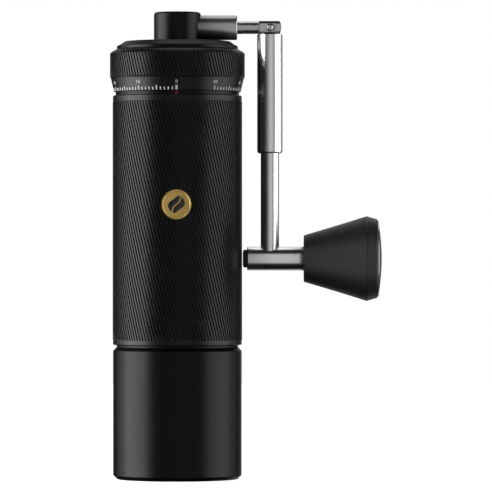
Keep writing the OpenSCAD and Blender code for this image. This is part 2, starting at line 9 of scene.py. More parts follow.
import bmesh
import bpy
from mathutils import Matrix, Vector


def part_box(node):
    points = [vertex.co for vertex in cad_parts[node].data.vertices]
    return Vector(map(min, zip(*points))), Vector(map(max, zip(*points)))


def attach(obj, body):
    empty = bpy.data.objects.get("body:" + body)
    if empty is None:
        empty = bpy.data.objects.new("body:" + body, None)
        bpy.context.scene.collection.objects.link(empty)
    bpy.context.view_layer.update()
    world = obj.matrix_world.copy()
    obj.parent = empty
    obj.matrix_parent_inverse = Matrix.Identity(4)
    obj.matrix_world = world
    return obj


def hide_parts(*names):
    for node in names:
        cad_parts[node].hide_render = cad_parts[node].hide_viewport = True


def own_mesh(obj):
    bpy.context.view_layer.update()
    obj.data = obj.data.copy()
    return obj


bl_info = {
    "name": "Hand Coffee Grinder",
    "version": (1, 0, 0),
    "blender": (4, 5, 0),
    "location": "3D View > Sidebar > Grinder",
    "description": "Builds the visible pieces of a hand crank coffee grinder",
    "category": "Object",
}

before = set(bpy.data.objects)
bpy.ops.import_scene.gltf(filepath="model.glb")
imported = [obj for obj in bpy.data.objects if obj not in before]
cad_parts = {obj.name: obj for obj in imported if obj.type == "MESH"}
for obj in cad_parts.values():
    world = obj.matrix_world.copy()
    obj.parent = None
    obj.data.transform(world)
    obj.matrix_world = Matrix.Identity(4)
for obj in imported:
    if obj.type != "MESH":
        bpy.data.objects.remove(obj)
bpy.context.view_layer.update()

MM = 0.001
ORIGIN = (0.0, 0.0, 0.0)
ACROSS = (pi / 2, 0, 0)


def low(node):
    """Lowest corner of a CAD node."""
    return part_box(node)[0]


def high(node):
    """Highest corner of a CAD node."""
    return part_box(node)[1]


# Places that more than one piece needs, all read from the frame
GRIP_RADIUS = high("body_sleeve").x
GRIP_LOW = low("body_sleeve").z
GRIP_TOP = high("body_sleeve").z
DIAL_RADIUS = high("dial_ring").x
DIAL_LOW = low("dial_ring").z
DIAL_TOP = high("dial_ring").z
LID_RADIUS = high("lid_cap").x
LID_TOP = high("lid_cap").z
HUB_RADIUS = high("crank_hub").x
ARM_HEIGHT = (low("pivot_pin").z + high("pivot_pin").z) / 2
PIVOT_X = (low("pivot_pin").x + high("pivot_pin").x) / 2
SPINDLE_HEIGHT = (low("knob_shell").z + high("knob_shell").z) / 2
SLEEVE_RADIUS = high("lock_sleeve").y
SPINDLE_RADIUS = high("knob_spindle").y
BADGE_HEIGHT = (low("badge").z + high("badge").z) / 2
BADGE_RADIUS = high("badge").x

# ---------------------------------------------------------------- settings


def length(name, description, default):
    """A setting that is a length."""
    return bpy.props.FloatProperty(name=name, description=description, default=default, unit="LENGTH")


def colour(name, description, default):
    """A setting that is a colour."""
    return bpy.props.FloatVectorProperty(
        name=name, description=description, default=default, subtype="COLOR", size=3
    )


class GripSettings(bpy.types.PropertyGroup):
    """Knurling of the grip and the dial."""

    ridges: bpy.props.IntProperty(
        name="Ridges", description="Helical ridges in one turn", default=120, min=24, max=200
    )
    ridge_height: length("Ridge height", "From groove to ridge top", 0.45 * MM)
    ridge_tilt: bpy.props.FloatProperty(
        name="Ridge tilt", description="Lean of the ridges from upright", default=radians(15.9),
        subtype="ANGLE",
    )
    plain_low: length("Lower band", "Plain band below the ridges", 2.1 * MM)
    plain_top: length("Upper band", "Plain band above the ridges", 2.6 * MM)
    plain_step: length("Band step", "How far the bands lie below the ridge tops", 0.13 * MM)


class DialSettings(bpy.types.PropertyGroup):
    """The scale round the dial."""

    labels: bpy.props.IntProperty(
        name="Labels", description="Numbers round the dial", default=10, min=2, max=12
    )
    digit_height: length("Digit height", "Height of a number", 1.5 * MM)
    tick_width: length("Tick width", "Width of a graduation", 0.45 * MM)
    short_tick: length("Short tick", "Length of a single graduation", 1.3 * MM)
    long_tick: length("Long tick", "Length of every fifth graduation", 1.9 * MM)


class FinishSettings(bpy.types.PropertyGroup):
    """Colours of the finishes."""

    black: colour("Black", "Black anodised aluminium", (0.0016, 0.0016, 0.0017))
    knob: colour("Knob", "Soft-touch plastic of the knob", (0.006, 0.006, 0.0062))
    steel: colour("Steel", "Polished stainless steel", (0.9, 0.895, 0.89))
    brass: colour("Brass", "Badge", (0.64, 0.43, 0.13))
    paint: colour("Paint", "Numbers and graduations", (0.5, 0.5, 0.5))


class StageSettings(bpy.types.PropertyGroup):
    """Camera, floor and lights."""

    camera_distance: length("Camera distance", "From the grinder's axis", 2.0)
    field_width: length("Field width", "Width of view at the grinder", 0.2091)
    floor_radius: length("Floor radius", "Size of the floor", 1.4)
    dome_radius: length("Dome radius", "Size of the white backdrop", 9.0)


SETTINGS = {
    "grinder_grip": GripSettings,
    "grinder_dial": DialSettings,
    "grinder_finish": FinishSettings,
    "grinder_stage": StageSettings,
}


def settings(name):
    """One group of settings of the current scene."""
    return getattr(bpy.context.scene, "grinder_" + name)


# --------------------------------------------------------------- materials


class Flow:
    """A socket on its way through a material, for use in expressions."""

    def __init__(self, recipe, socket):
        self.recipe = recipe
        self.socket = socket

    def _maths(self, operation, first, second=0.0):
        return self.recipe.node("ShaderNodeMath", {"operation": operation}, {0: first, 1: second})

    def __add__(self, other):
        return self._maths("ADD", self, other)

    def __radd__(self, other):
        return self._maths("ADD", other, self)

    def __sub__(self, other):
        return self._maths("SUBTRACT", self, other)

    def __rsub__(self, other):
        return self._maths("SUBTRACT", other, self)

    def __mul__(self, other):
        return self._maths("MULTIPLY", self, other)

    def __rmul__(self, other):
        return self._maths("MULTIPLY", other, self)

    def root(self):
        """Square root."""
        return self._maths("SQRT", self)


class Recipe:
    """A material that is put together node by node."""

    def __init__(self, name):
        self.material = bpy.data.materials.new(name)
        self.material.use_nodes = True
        self.tree = self.material.node_tree
        self.tree.nodes.clear()

    def node(self, kind, choices=None, inputs=None, output=0):
        """Adds a node: its choices first, then the values or links of its sockets."""
        made = self.tree.nodes.new(kind)
        for key, value in (choices or {}).items():
            setattr(made, key, value)
        for key, value in (inputs or {}).items():
            if isinstance(value, Flow):
                self.tree.links.new(value.socket, made.inputs[key])
            else:
                made.inputs[key].default_value = value
        return Flow(self, made.outputs[output]) if made.outputs else made

    def place(self):
        """Object coordinates, which are the row frame's own."""
        return self.node("ShaderNodeTexCoord", output="Object")

    def split(self, vector):
        """The three parts of a vector."""
        parts = self.node("ShaderNodeSeparateXYZ", None, {0: vector}).socket.node
        return [Flow(self, socket) for socket in parts.outputs]

    def noise(self, vector, scale, detail=3.0, roughness=0.55):
        """Cloudy noise from 0 to 1."""
        return self.node(
            "ShaderNodeTexNoise", None,
            {"Vector": vector, "Scale": scale, "Detail": detail, "Roughness": roughness}, "Fac",
        )

    def mix(self, share, first, second):
        """Blends two colours."""
        return self.node(
            "ShaderNodeMix", {"data_type": "RGBA"}, {0: share, 6: (*first, 1.0), 7: (*second, 1.0)}, 2
        )

    def bump(self, height, strength, distance):
        """Fine relief for the Normal socket."""
        return self.node(
            "ShaderNodeBump", None, {"Height": height, "Strength": strength, "Distance": distance}
        )

    def finish(self, **sockets):
        """Ends the material with a Principled shader. Socket names are given with underscores."""
        inputs = {name.replace("_", " "): value for name, value in sockets.items()}
        shader = self.node("ShaderNodeBsdfPrincipled", None, inputs)
        self.node("ShaderNodeOutputMaterial", None, {"Surface": shader})
        return self.material


def shade(colour, factor):
    """A colour made darker or lighter."""
    return tuple(min(1.0, channel * factor) for channel in colour)


def rings_about(recipe, point, height=0.0, along="Z"):
    """Coordinates about a turned piece: distance from its axis, 0, and place along it."""
    x, y, z = recipe.split(point)
    if along == "X":
        raised = z - height
        return recipe.node("ShaderNodeCombineXYZ", None, {0: (y * y + raised * raised).root(), 2: x})
    return recipe.node("ShaderNodeCombineXYZ", None, {0: (x * x + y * y).root(), 2: z})


def anodised(name, roughness, grain_strength, lines_strength, specular):
    """Black anodised aluminium: bead-blasted grain, faint turning lines and handling marks."""
    black = settings("finish").black
    recipe = Recipe(name)
    point = recipe.place()
    grain = recipe.noise(point, 5200.0, 2.0)
    marks = recipe.noise(point, 70.0, 4.0)
    lines = recipe.noise(rings_about(recipe, point), 5200.0, 1.0)
    relief = grain * grain_strength + lines * lines_strength
    return recipe.finish(
        Base_Color=recipe.mix(marks, shade(black, 0.8), shade(black, 1.3)),
        Roughness=roughness + (marks - 0.5) * 0.1 + (grain - 0.5) * 0.06,
        Specular_IOR_Level=specular,
        Normal=recipe.bump(relief, 0.25, 0.012 * MM),
    )


def polished(name, colour, roughness, smudge):
    """Mirror-polished metal with a trace of fingermarks."""
    recipe = Recipe(name)
    point = recipe.place()
    marks = recipe.noise(point, 110.0, 4.0)
    streaks = recipe.noise(point, 900.0, 2.0)
    return recipe.finish(
        Base_Color=recipe.mix(marks, shade(colour, 0.95), shade(colour, 1.03)),
        Metallic=1.0,
        Roughness=roughness + marks * smudge + streaks * smudge * 0.4,
    )


def turned_metal(name, colour, roughness, height=0.0, along="Z"):
    """Metal straight from the lathe, with fine rings."""
    recipe = Recipe(name)
    point = recipe.place()
    rings = recipe.noise(rings_about(recipe, point, height, along), 3800.0, 2.0)
    patina = recipe.noise(point, 160.0, 4.0)
    return recipe.finish(
        Base_Color=recipe.mix(patina, shade(colour, 0.82), shade(colour, 1.1)),
        Metallic=1.0,
        Roughness=roughness + (rings - 0.5) * 0.16 + patina * 0.06,
        Normal=recipe.bump(rings, 0.35, 0.02 * MM),
    )


def moulded(name, colour, roughness, grain_size, relief, specular=0.5):
    """Plastic, rubber or paint with a fine moulded grain."""
    recipe = Recipe(name)
    point = recipe.place()
    grain = recipe.noise(point, 1.0 / grain_size, 2.0)
    clouds = recipe.noise(point, 90.0, 3.0)
    return recipe.finish(
        Base_Color=recipe.mix(clouds, shade(colour, 0.88), shade(colour, 1.12)),
        Roughness=roughness + (grain - 0.5) * 0.12 + (clouds - 0.5) * 0.06,
        Specular_IOR_Level=specular,
        Normal=recipe.bump(grain, 0.3, relief),
    )


def painted(name, colour):
    """Thick paint filled into an engraving, slightly uneven."""
    recipe = Recipe(name)
    point = recipe.place()
    wear = recipe.noise(point, 1600.0, 3.0)
    return recipe.finish(
        Base_Color=recipe.mix(wear, shade(colour, 0.8), shade(colour, 1.15)),
        Roughness=0.45 + wear * 0.2,
    )


FINISHES = {}


def make_finishes():
    """All the finishes, one for each material slot of the record and a few more."""
    finish = settings("finish")
    steel = tuple(finish.steel)
    FINISHES.update(
        {
            "grip": anodised("grip_black_anodised", 0.34, 1.0, 0.0, 0.24),
            "smooth": anodised("smooth_black_anodised", 0.33, 0.5, 0.5, 0.15),
            "steel": polished("polished_steel", steel, 0.24, 0.025),
            # The arm's steel is a darker copy of the plain steel: painted shade that dims the bright
            # highlights of the fork and the pin.
            "arm": polished("steel_dimmed_by_painted_shade", shade(steel, 0.62), 0.25, 0.03),
            # The collar's steel is a darker copy again: painted shade that stands in for the dark
            # reflections on the collar.
            "collar": polished("steel_darkened_by_painted_shade", shade(steel, 0.56), 0.3, 0.05),
            "machined": turned_metal("turned_steel", (0.5, 0.5, 0.49), 0.3),
            "carrier": anodised("blackened_carrier", 0.4, 0.2, 1.0, 0.15),
            "burr": turned_metal("hardened_burr_steel", (0.4, 0.385, 0.37), 0.26),
            "spring": polished("spring_wire", (0.45, 0.45, 0.45), 0.22, 0.1),
            "magnet": polished("nickel_plate", (0.62, 0.6, 0.56), 0.18, 0.08),
            "bronze": turned_metal("turned_bronze", (0.55, 0.34, 0.14), 0.28),
            "knob_bronze": turned_metal("dark_bush_bronze", (0.09, 0.065, 0.04), 0.35, SPINDLE_HEIGHT, "X"),
            "brass": polished("satin_brass", tuple(finish.brass), 0.3, 0.08),
            "oxide": polished("black_oxide_steel", (0.03, 0.03, 0.032), 0.35, 0.12),
            "knob": moulded("soft_touch_black", tuple(finish.knob), 0.44, 0.16 * MM, 0.015 * MM, 0.62),
            "rubber": moulded("black_rubber", (0.012, 0.012, 0.012), 0.7, 0.25 * MM, 0.03 * MM),
            "seal": moulded("grey_silicone", (0.12, 0.12, 0.12), 0.6, 0.3 * MM, 0.02 * MM),
            "red": moulded("dark_red_inlay", (0.24, 0.008, 0.01), 0.35, 0.1 * MM, 0.01 * MM, 0.2),
            "enamel": moulded("black_enamel", (0.006, 0.006, 0.007), 0.2, 0.4 * MM, 0.004 * MM),
            "paint": painted("white_paint_fill", tuple(finish.paint)),
        }
    )


CAD_FINISH = {
    "machined": [
        "cup_armature_ring", "burr_retainer", "lower_bridge", "main_shaft", "drive_socket", "burr_washer",
        "burr_nut", "spring_washer", "click_ring", "upper_bearing_outer", "upper_bearing_inner",
        "upper_bearing_balls", "lower_bearing_shell", "lower_bearing_rollers", "click_balls",
        "knob_washer",
    ],
    "oxide": [
        "bridge_screws", "arm_set_screw", "knob_screw", "spring_circlip", "upper_circlip", "hub_clip",
        "dial_retainer",
    ],
    "spring": ["click_springs", "preload_spring"],
    "magnet": ["grip_magnet", "carrier_magnets"],
    "burr": ["outer_burr", "inner_burr"],
    "carrier": ["burr_carrier"],
    "bronze": ["lid_bush", "lift_spider"],
    "knob_bronze": ["knob_bushes"],
    "rubber": ["sleeve_ring"],
    "seal": ["lid_seal"],
    "red": ["index_mark"],
    "smooth": ["top_frame"],
}

# ------------------------------------------------------------------ shapes


def start_clean():
    """Leaves edit mode and deselects everything."""
    if bpy.context.object and bpy.context.object.mode != "OBJECT":
        bpy.ops.object.mode_set(mode="OBJECT")
    bpy.ops.object.select_all(action="DESELECT")


def only(piece):
    """Makes a piece the one that operators act on."""
    start_clean()
    piece.select_set(True)
    bpy.context.view_layer.objects.active = piece


def edit(piece):
    """Opens a piece in edit mode with everything selected."""
    only(piece)
    bpy.ops.object.mode_set(mode="EDIT")
    bpy.ops.mesh.select_mode(type="VERT")
    bpy.ops.mesh.select_all(action="SELECT")


def apply_place(piece):
    """Moves a piece's place, turn and scale into its mesh."""
    only(piece)
    bpy.ops.object.transform_apply(location=True, rotation=True, scale=True)


def added(name, operator, **options):
    """Adds an object with one of Blender's add operators and puts its place in its mesh."""
    start_clean()
    operator(**options)
    piece = bpy.context.object
    piece.name = name
    apply_place(piece)
    return piece


def joined(pieces, name):
    """Joins pieces into one."""
    only(pieces[0])
    for piece in pieces[1:]:
        piece.select_set(True)
    bpy.ops.object.join()
    piece = bpy.context.object
    piece.name = name
    return piece


def weld_and_face_out():
    """Merges doubles and turns all faces outwards, in edit mode."""
    bpy.ops.mesh.select_all(action="SELECT")
    bpy.ops.mesh.remove_doubles(threshold=1e-6)
    bpy.ops.mesh.normals_make_consistent(inside=False)


def modify(piece, kind, **options):
    """Adds a modifier and applies it."""
    only(piece)
    modifier = piece.modifiers.new(kind.title(), kind)
    for option, value in options.items():
        setattr(modifier, option, value)
    bpy.ops.object.modifier_apply(modifier=modifier.name)


def soften(piece, width, segments=2, angle=radians(30)):
    """Rounds every sharp edge a little and shades the rest smooth."""
    if width:
        modify(
            piece, "BEVEL", width=width, segments=segments, limit_method="ANGLE", angle_limit=angle,
            use_clamp_overlap=True,
        )
    only(piece)
    bpy.ops.object.shade_smooth_by_angle(angle=radians(32))


def curve_of(centre_r, centre_z, radius, start, end, steps=6):
    """Points of an arc in a turned outline, from one angle in degrees to another."""
    turns = [radians(start + (end - start) * i / steps) for i in range(steps + 1)]
    return [(centre_r + radius * cos(turn), centre_z + radius * sin(turn)) for turn in turns]


def turned(name, outline, edge=0.1 * MM, steps=144, place=ORIGIN, along="Z", closed=True):
    """A turned piece: its outline of (radius, height) points is drawn by extruding, then spun round."""
    r, z = outline[0]
    piece = added(name, bpy.ops.mesh.primitive_plane_add, size=MM, location=(r, 0, z))
    edit(piece)
    bpy.ops.mesh.merge(type="CENTER")
    for next_r, next_z in outline[1:] + ([outline[0]] if closed else []):
        bpy.ops.mesh.extrude_vertices_move(TRANSFORM_OT_translate={"value": (next_r - r, 0, next_z - z)})
        r, z = next_r, next_z
    bpy.ops.mesh.select_all(action="SELECT")
    bpy.ops.mesh.remove_doubles(threshold=1e-6)
    bpy.ops.mesh.spin(steps=steps, angle=tau, center=ORIGIN, axis=(0, 0, 1), use_auto_merge=True)
    weld_and_face_out()
    bpy.ops.object.mode_set(mode="OBJECT")
    if along == "X":
        piece.rotation_euler = (0, pi / 2, 0)
    piece.location = place
    apply_place(piece)
    soften(piece, edge)
    return piece


class Ring:
    """A ring of vertices that grows into a tube by extruding, widening, turning and carving."""

    def __init__(self, name, points, radius, height):
        self.piece = added(
            name, bpy.ops.mesh.primitive_circle_add, vertices=points, radius=radius, location=(0, 0, height)
        )
        edit(self.piece)
        self.points = points
        self.radius = radius
        self.height = height
        self.turn = 0.0

    def grow(self, radius, height, turn=0.0):
        """Extrudes the ring to a new radius and height, and turns it about the axis."""
        ratio = radius / self.radius
        bpy.ops.mesh.extrude_region_move(TRANSFORM_OT_translate={"value": (0, 0, height - self.height)})
        if abs(ratio - 1) > 1e-9:
            bpy.ops.transform.resize(value=(ratio, ratio, 1), center_override=ORIGIN)
        if turn:
            # With no window the operator turns clockwise for a positive value
            bpy.ops.transform.rotate(value=-turn, orient_axis="Z", center_override=ORIGIN)
        self.radius = radius
        self.height = height
        self.turn += turn

    def carve(self, set_back):
        """Sets each vertex of the last ring in from the round by what set_back gives for its number."""
        mesh = bmesh.from_edit_mesh(self.piece.data)
        spacing = tau / self.points
        for v in mesh.verts:
            if v.select:
                number = round((atan2(v.co.y, v.co.x) - self.turn) / spacing) % self.points
                angle = number * spacing + self.turn
                radius = self.radius - set_back(number)
                v.co.x, v.co.y = radius * cos(angle), radius * sin(angle)
        bmesh.update_edit_mesh(self.piece.data)

    def close(self):
        """Welds the last ring to the first and finishes the tube."""
        weld_and_face_out()
        bpy.ops.object.mode_set(mode="OBJECT")
        return self.piece


# Vertices in one ridge of the knurling with its groove, and how many of them lie on the ridge
KNURL_POINTS = 5
KNURL_RIDGE = 3


def knurl(number):
    """How far a vertex of the knurling lies below the ridge tops."""
    return settings("grip").ridge_height if number % KNURL_POINTS >= KNURL_RIDGE else 0.0


def plain(number):
    """No carving at all."""
    return 0.0


def box_block(name, size, place):
    """A plain block, used for cutting."""
    return added(name, bpy.ops.mesh.primitive_cube_add, size=1, location=place, scale=size)


def round_block(name, radius, depth, place, turn=ORIGIN, sides=96):
    """A plain round bar, used for cutting."""
    return added(
        name, bpy.ops.mesh.primitive_cylinder_add, vertices=sides, radius=radius, depth=depth,
        location=place, rotation=turn,
    )


def combine(piece, tool, operation="DIFFERENCE"):
    """Cuts a piece with a tool, or joins the tool to it, and removes the tool."""
    modify(piece, "BOOLEAN", object=tool, operation=operation, solver="EXACT")
    bpy.data.objects.remove(tool)


def cut_flat(piece, point, normal):
    """Slices a piece along a plane, closes the cut and drops what lies beyond it."""
    edit(piece)
    bpy.ops.mesh.bisect(plane_co=point, plane_no=normal, use_fill=True, clear_outer=True)
    bpy.ops.object.mode_set(mode="OBJECT")


def dress(piece, finish, body, slot, *nodes):
    """Gives a piece its finish, its body and the CAD nodes that it stands for; the slot is not used."""
    piece.data.materials.clear()
    piece.data.materials.append(FINISHES[finish])
    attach(piece, body)
    if nodes:
        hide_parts(*nodes)
    return piece


# ------------------------------------------------------------------ pieces


class GRINDER_OT_finishes(bpy.types.Operator):
    """Makes the finishes and gives each inner piece its own"""

    bl_idname = "grinder.finishes"
    bl_label = "Finishes"

    def execute(self, context):
        make_finishes()
        for finish, nodes in CAD_FINISH.items():
            for node in nodes:
                for material_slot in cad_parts[node].material_slots:
                    material_slot.material = FINISHES[finish]
        return {"FINISHED"}


class GRINDER_OT_grip(bpy.types.Operator):
    """Knurled body tube, with a round recess for the badge"""

    bl_idname = "grinder.grip"
    bl_label = "Knurled Grip"

    def execute(self, context):
        grip = settings("grip")
        band = GRIP_RADIUS - grip.plain_step
        bore = high("burr_carrier").x - 0.8 * MM
        chamfer = 0.3 * MM
        run_out = 0.25 * MM
        knurl_low = GRIP_LOW + grip.plain_low
        knurl_top = GRIP_TOP - grip.plain_top
        rows = 28
        pitch = tau / grip.ridges
        lean = tan(grip.ridge_tilt) * (knurl_top - knurl_low) / GRIP_RADIUS
        turn = -pitch * round(lean / pitch) / rows

        ring = Ring("knurled_grip", grip.ridges * KNURL_POINTS, bore, GRIP_LOW)
        ring.grow(band - chamfer, GRIP_LOW)
        ring.grow(band, GRIP_LOW + chamfer)
        ring.grow(band, knurl_low)
        ring.grow(GRIP_RADIUS, knurl_low + run_out)
        ring.carve(knurl)
        step = (knurl_top - knurl_low - 2 * run_out) / rows
        for row in range(rows):
            ring.grow(GRIP_RADIUS, knurl_low + run_out + (row + 1) * step, turn)
        ring.grow(GRIP_RADIUS, knurl_top)
        ring.carve(plain)
        ring.grow(band, knurl_top + 0.05 * MM)
        ring.grow(band, GRIP_TOP - chamfer)
        ring.grow(band - chamfer, GRIP_TOP)
        ring.grow(bore, GRIP_TOP)
        ring.grow(bore, GRIP_LOW)
        piece = ring.close()
        recess = round_block(
            "badge_recess", BADGE_RADIUS + 0.12 * MM, 4 * MM, (0, high("badge").y - 2 * MM, BADGE_HEIGHT),
            ACROSS,
        )
        combine(piece, recess)
        soften(piece, 0)
        dress(piece, "grip", "housing", "black_anodised", "body_sleeve")
        return {"FINISHED"}


class GRINDER_OT_badge(bpy.types.Operator):
    """Brass badge with a raised rim and an enamelled coffee bean"""

    bl_idname = "grinder.badge"
    bl_label = "Badge"

    def execute(self, context):
        back = high("badge").y
        front = low("badge").y
        rim = 0.55 * MM
        sunk = 0.12 * MM
        thickness = back - front
        disc = turned(
            "badge_disc",
            [(0, 0), (BADGE_RADIUS, 0), (BADGE_RADIUS, thickness), (BADGE_RADIUS - rim, thickness),
             (BADGE_RADIUS - rim - 0.1 * MM, thickness - sunk), (0, thickness - sunk)],
            edge=0.08 * MM, steps=96, closed=False,
        )
        disc.rotation_euler = ACROSS
        disc.location = (0, back, BADGE_HEIGHT)
        apply_place(disc)
        dress(disc, "brass", "housing", "brass_badge", "badge")
        halves = [self.half_bean(side, front + sunk) for side in (0, 1)]
        dress(joined(halves, "badge_bean"), "enamel", "housing", "black_anodised")
        return {"FINISHED"}

    @staticmethod
    def half_bean(side, surface_y):
        """One half of a coffee bean: half an ellipse whose straight side bends into an S."""
        half_height = 3.7 * MM
        half_width = 2.5 * MM
        seam = 0.28 * MM
        sway = 0.55 * MM
        thickness = 0.14 * MM
        piece = added("bean", bpy.ops.mesh.primitive_circle_add, vertices=72, radius=1, fill_type="NGON")
        edit(piece)
        mesh = bmesh.from_edit_mesh(piece.data)
        for v in mesh.verts:
            bend = seam + sway * sin(pi * v.co.y)
            outer = half_width * v.co.x if v.co.x > 0.02 else 0
            v.co = Vector((outer + bend, half_height * v.co.y, 0))
        bmesh.update_edit_mesh(piece.data)
        bpy.ops.mesh.remove_doubles(threshold=1e-6)
        bpy.ops.mesh.select_all(action="SELECT")
        bpy.ops.mesh.extrude_region_move(TRANSFORM_OT_translate={"value": (0, 0, thickness)})
        weld_and_face_out()
        bpy.ops.object.mode_set(mode="OBJECT")
        piece.rotation_euler = (pi / 2, radians(28) + pi * side, 0)
        piece.location = (0, surface_y + 0.04 * MM, BADGE_HEIGHT)
        apply_place(piece)
        soften(piece, 0.05 * MM)
        return piece


class GRINDER_OT_cup(bpy.types.Operator):
    """Smooth grounds cup with a bevelled foot"""

    bl_idname = "grinder.cup"
    bl_label = "Grounds Cup"

    def execute(self, context):
        radius = high("grounds_cup").x
        top = high("grounds_cup").z
        foot = 1.7 * MM
        neck = high("burr_carrier").x
        mouth = high("cup_armature_ring").x
        ledge = low("cup_armature_ring").z
        wall = 3.7 * MM
        inside = radius - wall
        floor_z = 3 * MM
        fillet = 3 * MM
        outline = [
            (0, 0), (radius - foot, 0), (radius, foot), (radius, top - (radius - neck)), (neck, top),
            (mouth, top), (mouth, ledge), (inside, ledge),
        ]
        outline += curve_of(inside - fillet, floor_z + fillet, fillet, 0, -90)
        outline += [(0, floor_z)]
        cup = turned("cup_shell", outline, edge=0.22 * MM, steps=192, closed=False)
        dress(cup, "smooth", "cup", "polished_black", "grounds_cup")
        return {"FINISHED"}


# The dial's skirt widens from its lower edge to this height
SKIRT_TOP = DIAL_LOW + 5.45 * MM
SKIRT_LOW_RADIUS = 26.9 * MM
SKIRT_TOP_RADIUS = 28.2 * MM
SKIRT_LEAN = atan2(SKIRT_TOP_RADIUS - SKIRT_LOW_RADIUS, SKIRT_TOP - DIAL_LOW)

# The dial's rim begins at this height
RIM_LOW = SKIRT_TOP + 0.8 * MM


def skirt_radius(z):
    """Radius of the dial's tapered skirt at a height."""
    share = (z - DIAL_LOW) / (SKIRT_TOP - DIAL_LOW)
    return SKIRT_LOW_RADIUS + (SKIRT_TOP_RADIUS - SKIRT_LOW_RADIUS) * share


class GRINDER_OT_dial(bpy.types.Operator):
    """Adjusting dial: tapered skirt below, knurled rim above"""

    bl_idname = "grinder.dial"
    bl_label = "Adjusting Dial"

    def execute(self, context):
        grip = settings("grip")
        bore = 25.3 * MM
        thread = 24.0 * MM
        mouth = 24.4 * MM
        knurl_low = RIM_LOW + 0.35 * MM
        knurl_top = DIAL_TOP - 2.2 * MM
        shoulder = 0.7 * MM
        chamfer = 0.2 * MM
        thread_top = DIAL_TOP - 3.2 * MM
        click_top = high("click_ring").z
        rows = 4
        spacing = tau / (grip.ridges * KNURL_POINTS)
        lean = tan(grip.ridge_tilt) * (knurl_top - knurl_low) / DIAL_RADIUS
        turn = -spacing * round(lean / spacing) / rows
        ring = Ring("dial_body", grip.ridges * KNURL_POINTS, bore, DIAL_LOW)
        ring.grow(skirt_radius(DIAL_LOW) - chamfer, DIAL_LOW)
        ring.grow(skirt_radius(DIAL_LOW + chamfer), DIAL_LOW + chamfer)
        ring.grow(skirt_radius(SKIRT_TOP), SKIRT_TOP)
        ring.grow(DIAL_RADIUS - 0.12 * MM, RIM_LOW - 0.1 * MM)
        ring.grow(DIAL_RADIUS, RIM_LOW)
        ring.grow(DIAL_RADIUS, knurl_low)
        ring.carve(knurl)
        step = (knurl_top - knurl_low) / rows
        for row in range(rows):
            ring.grow(DIAL_RADIUS, knurl_low + (row + 1) * step, turn)
        ring.grow(DIAL_RADIUS, knurl_top + 0.2 * MM)
        ring.carve(plain)
        ring.grow(DIAL_RADIUS - shoulder, knurl_top + 0.95 * MM)
        ring.grow(DIAL_RADIUS - 2.04 * MM, DIAL_TOP - 0.5 * MM)
        ring.grow(LID_RADIUS, DIAL_TOP)
        ring.grow(mouth, DIAL_TOP)
        ring.grow(mouth, thread_top)
        ring.grow(thread, thread_top)
        ring.grow(thread, click_top)
        ring.grow(bore, click_top)
        ring.grow(bore, DIAL_LOW)
        piece = ring.close()
        soften(piece, 0)
        dress(piece, "grip", "dial", "polished_black", "dial_ring")
        return {"FINISHED"}


def on_skirt(piece, turn, z):
    """Sets a flat mark on the skirt, turned from the front towards the left, and applies its place."""
    radius = skirt_radius(z)
    piece.rotation_euler = (pi / 2 + SKIRT_LEAN, 0, -turn)
    piece.location = (-radius * sin(turn), -radius * cos(turn), z)
    apply_place(piece)


class GRINDER_OT_scale(bpy.types.Operator):
    """Numbers and graduations round the dial"""

    bl_idname = "grinder.scale"
    bl_label = "Dial Scale"

    def execute(self, context):
        dial = settings("dial")
        spread = tau / dial.labels
        ticks = []
        for mark in range(10 * (dial.labels - 1) + 1):
            reach = dial.long_tick if mark % 5 == 0 else dial.short_tick
            width = dial.tick_width * (1.8 if mark == 0 else 1.0)
            ticks.append(self.tick(width, reach, mark * spread / 10))
        numbers = [self.number(str(10 * label), label * spread) for label in range(dial.labels)]
        for marks, name in ((ticks, "dial_graduations"), (numbers, "dial_numbers")):
            dress(joined(marks, name), "paint", "dial", "polished_black")
        return {"FINISHED"}

    @staticmethod
    def tick(width, reach, turn):
        """One graduation: a thin bar of paint with soft edges."""
        foot = DIAL_LOW + 0.22 * MM
        thickness = 0.09 * MM
        bar = box_block("tick", (width, reach, thickness), ORIGIN)
        edit(bar)
        bpy.ops.mesh.bevel(offset=0.03 * MM, segments=1)
        bpy.ops.object.mode_set(mode="OBJECT")
        on_skirt(bar, turn, foot + reach / 2)
        return bar

    @staticmethod
    def number(text, turn):
        """One number of the scale."""
        height = settings("dial").digit_height
        start_clean()
        bpy.ops.object.text_add()
        letters = bpy.context.object
        letters.data.body = text
        letters.data.size = height / 0.72
        letters.data.align_x = "CENTER"
        letters.data.align_y = "CENTER"
        letters.data.extrude = 0.05 * MM
        letters.data.resolution_u = 4
        letters.data.space_character = 1.15
        bpy.ops.object.convert(target="MESH")
        letters = bpy.context.object
        on_skirt(letters, turn, SKIRT_TOP - 1.85 * MM)
        return letters


